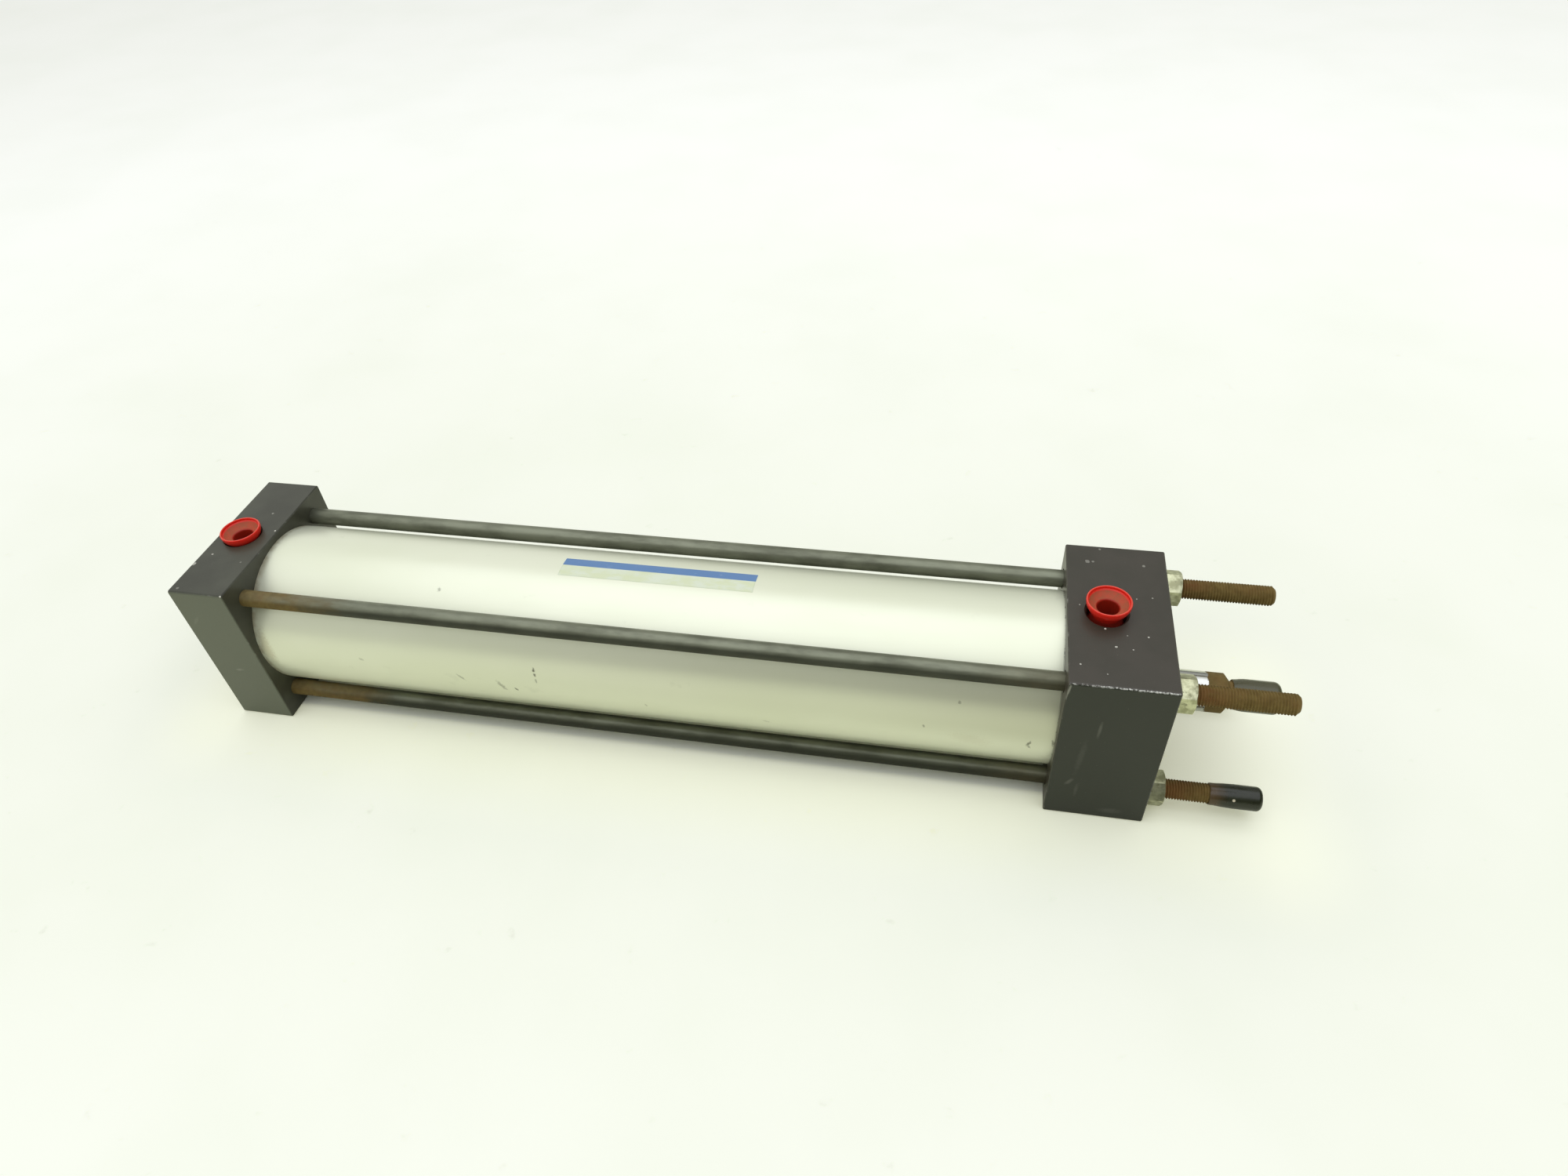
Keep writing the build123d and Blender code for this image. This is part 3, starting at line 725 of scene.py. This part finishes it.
# Painted shade: the neck down in the port is darker.
neck_shade = below_rim.between(5.2, 7.6) * from_axis.between(4.4, 4.8) * 0.75
shade = red.mix(neck_shade, shade, colour(92, 38, 27))
red.feed("Base Color", red.mix(lip_highlight * 0.4, shade, colour(206, 120, 96)))
red.feed("Roughness", 0.36 + in_funnel * 0.3)
red.bump(red.noise(1.4, detail=4), 0.05)

rim_radius, rim_wall = 8.35, 0.72
lip_round = rim_wall / 2


def plug_outline(rim, tip):
    """A plug's half section as (radius, z), from the middle of its tip, round its rim, to its own floor."""
    bead = [(0, tip), (6.1, tip), (6.7, tip + 0.6), (7.2, tip + 1.5), (7.2, tip + 2.4), (6.2, tip + 3.6)]
    neck = [(5.6, rim - 9.0), (5.55, rim - 7.2), (5.65, rim - 6.3), (6.0, rim - 5.5)]
    bowl = [(6.6, rim - 4.8), (7.25, rim - 3.9), (7.8, rim - 2.9), (8.2, rim - 1.9),
            (rim_radius, rim - 0.9)]
    outside = bead + neck + bowl
    over_lip = arc((rim_radius - lip_round, rim - lip_round), lip_round, 0, 180)
    funnel = [(rim_radius - rim_wall, rim - 1.1), (7.25, rim - 1.5), (5.0, rim - 3.3)]
    into_hole = arc((5.0, rim - 4.3), 1.0, 90, 180)[1:]
    hole_floor = [(4.0, tip + 1.9), (3.6, tip + 1.5), (0, tip + 1.5)]
    return outside + over_lip + funnel + into_hole + hole_floor


for node in ("port_plug_rear", "port_plug_front"):
    low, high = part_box(node)
    port_x = (low.x + high.x) / 2 / MM
    outline = plug_outline(high.z / MM, low.z / MM)
    plug = turn(node.replace("port", "flared"), outline, (port_x, 0, 0), (0, 0, 1))
    stand_for(plug, node, "cylinder_body", red)

# %% [markdown]
# The thread caps were dipped, not moulded: a form goes into liquid vinyl, and the skin hardens on it. The
# wall is thin and stretched at the mouth, thicker along the body, and the end is a soft round. The outline
# therefore swells slowly behind the mouth, over the length that is called the flare, and closes in one arc.
# Rust from the stud has dusted the lower cap near its mouth, and the rod's cap is grey with dust.

# %% Black vinyl caps
vinyl = Finish("black_vinyl", {"IOR": 1.5, "Specular IOR Level": 0.45})
skin = vinyl.noise(5, detail=3)
scuffed = vinyl.noise(1.7, detail=4, shift=6).between(0.6, 0.75)
fleck_place = (32.2, -31.9, -25.4)
white_fleck = vinyl.near(fleck_place, 0.45, 0.2)
dark = vinyl.mix(skin.between(0.3, 0.7), colour(32, 35, 20), colour(40, 43, 27))
dusty = abs(vinyl.y).between(16, 12) * (0.75 + skin * 0.25)
dark = vinyl.mix(dusty, dark, colour(86, 84, 60))
dark = vinyl.mix(scuffed * 0.2, dark, colour(84, 84, 62))
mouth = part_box("stud_cap")[0].x / MM
rust_dust = (vinyl.x + (skin - 0.5) * 6).between(mouth + 7, mouth + 1) * (vinyl.z + 15).between(0, -5) * 0.6
dark = vinyl.mix(rust_dust, dark, colour(98, 74, 44))
vinyl.feed("Base Color", vinyl.mix(white_fleck, dark, colour(205, 195, 170)))
vinyl.feed("Roughness", 0.2 + skin * 0.16)
vinyl.bump(skin * 0.6 + vinyl.noise(0.9, shift=3) * 0.4, 0.08)


def cap_outline(mouth, tip, end_bore, bore, lip_wall, wall, flare, rounding):
    """A dipped cap's half section as (x, radius): from inside its end, out at its mouth, over its tip."""
    inside = [(end_bore, 0), (end_bore, bore), (mouth, bore), (mouth - 0.02, bore + lip_wall * 0.5)]
    neck = [(mouth + 0.25, bore + lip_wall), (mouth + flare * 0.25, bore + lip_wall * 1.15),
            (mouth + flare * 0.6, bore + (lip_wall + wall) / 2 + 0.08), (mouth + flare, bore + wall)]
    end = arc((tip - rounding, bore + wall - rounding), rounding, 90, 0, steps=8)
    return inside + neck + end + [(tip, 0)]


cap_gap = 0.03
rod_tip = millimetre_box("piston_rod")[1][0]
rod_thread_radius = 5.556
caps = {
    "stud_cap": {"end_bore": stud_tip + cap_gap, "bore": thread_crest + cap_gap,
                 "lip_wall": 0.3, "wall": 0.75, "flare": 9.0, "rounding": 1.9},
    "rod_thread_cap": {"end_bore": rod_tip + cap_gap, "bore": rod_thread_radius + cap_gap,
                       "lip_wall": 0.3, "wall": 0.85, "flare": 4.5, "rounding": 2.4},
}
cap_places = {
    "stud_cap": ((0, -tie_half, -tie_half), "cylinder_body"),
    "rod_thread_cap": ((0, 0, 0), "piston_and_rod"),
}
for node, sizes in caps.items():
    low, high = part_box(node)
    origin, body = cap_places[node]
    cap = turn(f"vinyl_{node}", cap_outline(low.x / MM, high.x / MM, **sizes), origin, (1, 0, 0))
    stand_for(cap, node, body, vinyl)

# %% [markdown]
# The piston rod is ground and hard chromed, but the chrome stops short of its end. From there the wrench
# flats, the shoulder and the neck are bare and have rusted. The boundary is ragged, because rust creeps
# under chrome.

# %% Chromed and rusty piston rod
chrome = Finish("hard_chrome", {"IOR": 1.5, "Specular IOR Level": 0.3})
creep = chrome.noise(1.8, detail=5, shift=1)
ground = chrome.noise(0.35, stretch=(1, 12, 12), detail=4)
bare = (chrome.x + (creep - 0.5) * 3.5).between(18.4, 19.2)
speckled = chrome.noise(0.8, detail=2, shift=13).between(0.7, 0.74) * chrome.x.between(8, 17) * 0.7
rusty = bare.math("MAXIMUM", speckled)
chrome.feed("Base Color", chrome.mix(rusty, colour(205, 206, 200), rust_colour(chrome, 3)))
chrome.feed("Metallic", 1 - rusty)
chrome.feed("Roughness", 0.14 + ground * 0.08 + rusty * 0.55)
chrome.bump(ground * 0.05 + creep * bare, 0.08)
paint(chrome, "piston_rod")
print("piston rod:", len(chrome.tree.nodes), "nodes")

# %% [markdown]
# The adhesive strip lies on the top of the tube, a little to the far side. A printed band of blue runs
# along its far part, and its near part is clear film. It is a line along the tube, spun through 18 degrees
# about the tube's own axis and given the thickness of film. The film is told from the tube by its edge and
# its smoother gloss.

# %% Adhesive strip
strip_rear, strip_front = -241.8, -159.3
strip_far, band_edge, strip_near = -12.5, -4.65, 5.8
film_gap, film_thickness = 0.03, 0.09
strip_steps = 14
line = [(strip_rear, barrel_radius + film_gap), (strip_front, barrel_radius + film_gap)]
strip = trace("adhesive_strip", line)
bpy.ops.transform.rotate(value=-math.radians(strip_far), orient_axis="X", center_override=(0, 0, 0))
strip_sweep = math.radians(strip_near - strip_far)
bpy.ops.mesh.spin(steps=strip_steps, angle=-strip_sweep, center=(0, 0, 0), axis=(1, 0, 0))
bpy.ops.object.mode_set(mode="OBJECT")
film = strip.modifiers.new("film", "SOLIDIFY")
film.thickness = film_thickness * MM
film.offset = 1
bpy.ops.object.modifier_apply(modifier=film.name)
bpy.ops.object.shade_smooth_by_angle(angle=math.radians(30))

printed = Finish("printed_film", {"IOR": 1.5, "Specular IOR Level": 0.5})
round_top = printed.angle_round() * (180 / math.pi)
blue = round_top.between(band_edge + 0.12, band_edge - 0.12)
at_ends = (printed.x - strip_rear).math("MINIMUM", strip_front - printed.x).between(0.5, 0.1)
rim = at_ends.math("MAXIMUM", (strip_near - round_top).between(0.9, 0.2))
blotches = printed.noise(4, stretch=(2, 1, 1), detail=3).between(0.4, 0.65)
film_tone = printed.mix(blotches, colour(224, 231, 208), colour(219, 226, 188))
film_tone = printed.mix(rim * 0.35, film_tone, colour(196, 204, 176))
rubbed_blue = printed.noise(0.9, stretch=(4, 1, 1), detail=5, shift=2).between(0.62, 0.75) * 0.35
ink = printed.mix(rubbed_blue, colour(92, 131, 179), colour(170, 190, 210))
printed.feed("Base Color", printed.mix(blue, film_tone, ink))
printed.feed("Roughness", 0.28 + blotches * 0.1)
printed.bump(printed.noise(1.5, detail=2, shift=5), 0.02)
strip.data.materials.append(printed.material)
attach(strip, "cylinder_body")
print(strip.name, "is", [round(length / MM, 2) for length in strip.dimensions], "mm")

# %% [markdown]
# The pieces inside the tube and the head are hidden, but each still gets the finish of its own material:
# turned aluminium shows rings, sintered bronze shows pores, and rubber is matt with a faint bloom. One
# function makes these finishes, from two tones and the size and depth of their grain. The piston's nut
# shares the zinc of the other nuts.

# %% Finishes of the inner pieces
def plain_finish(name, low, high, size, depth, roughness, metallic, stretch=(1, 1, 1)):
    """A finish with two tones, blended by a grain of this size and depth in millimetres."""
    made = Finish(name, {"IOR": 1.5, "Metallic": metallic})
    grain = made.noise(size, stretch=stretch, detail=5)
    cloud = made.noise(size * 9, detail=2, shift=6)
    made.feed("Base Color", made.mix(cloud.between(0.3, 0.7), colour(*low), colour(*high)))
    made.feed("Roughness", roughness + grain * 0.15)
    made.bump(grain, depth)
    return made


rubber = plain_finish("seal_rubber", (34, 34, 33), (44, 44, 42), 0.5, 0.02, 0.5, 0.0)
wiper_rubber = plain_finish("wiper_rubber", (48, 48, 50), (58, 58, 58), 0.5, 0.02, 0.55, 0.0)
turned_metal = plain_finish("turned_aluminium", (205, 207, 208), (190, 192, 194), 0.35, 0.01, 0.25, 0.9,
                            (1, 14, 14))
bronze = plain_finish("sintered_bronze", (176, 132, 74), (150, 108, 58), 0.3, 0.03, 0.4, 0.8)
band_plastic = plain_finish("wear_band_plastic", (178, 166, 132), (160, 148, 116), 0.6, 0.02, 0.5, 0.0)
paint(rubber, "barrel_seal_rear", "barrel_seal_front", "piston_seal_rear", "piston_seal_front",
      "piston_static_seal", "rod_seal")
paint(wiper_rubber, "rod_wiper")
paint(turned_metal, "piston")
paint(zinc, "piston_nut")
paint(bronze, "rod_bushing")
paint(band_plastic, "piston_wear_band")
in_use = {slot.material.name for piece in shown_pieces() for slot in piece.material_slots if slot.material}
print("materials in use:", len(in_use))
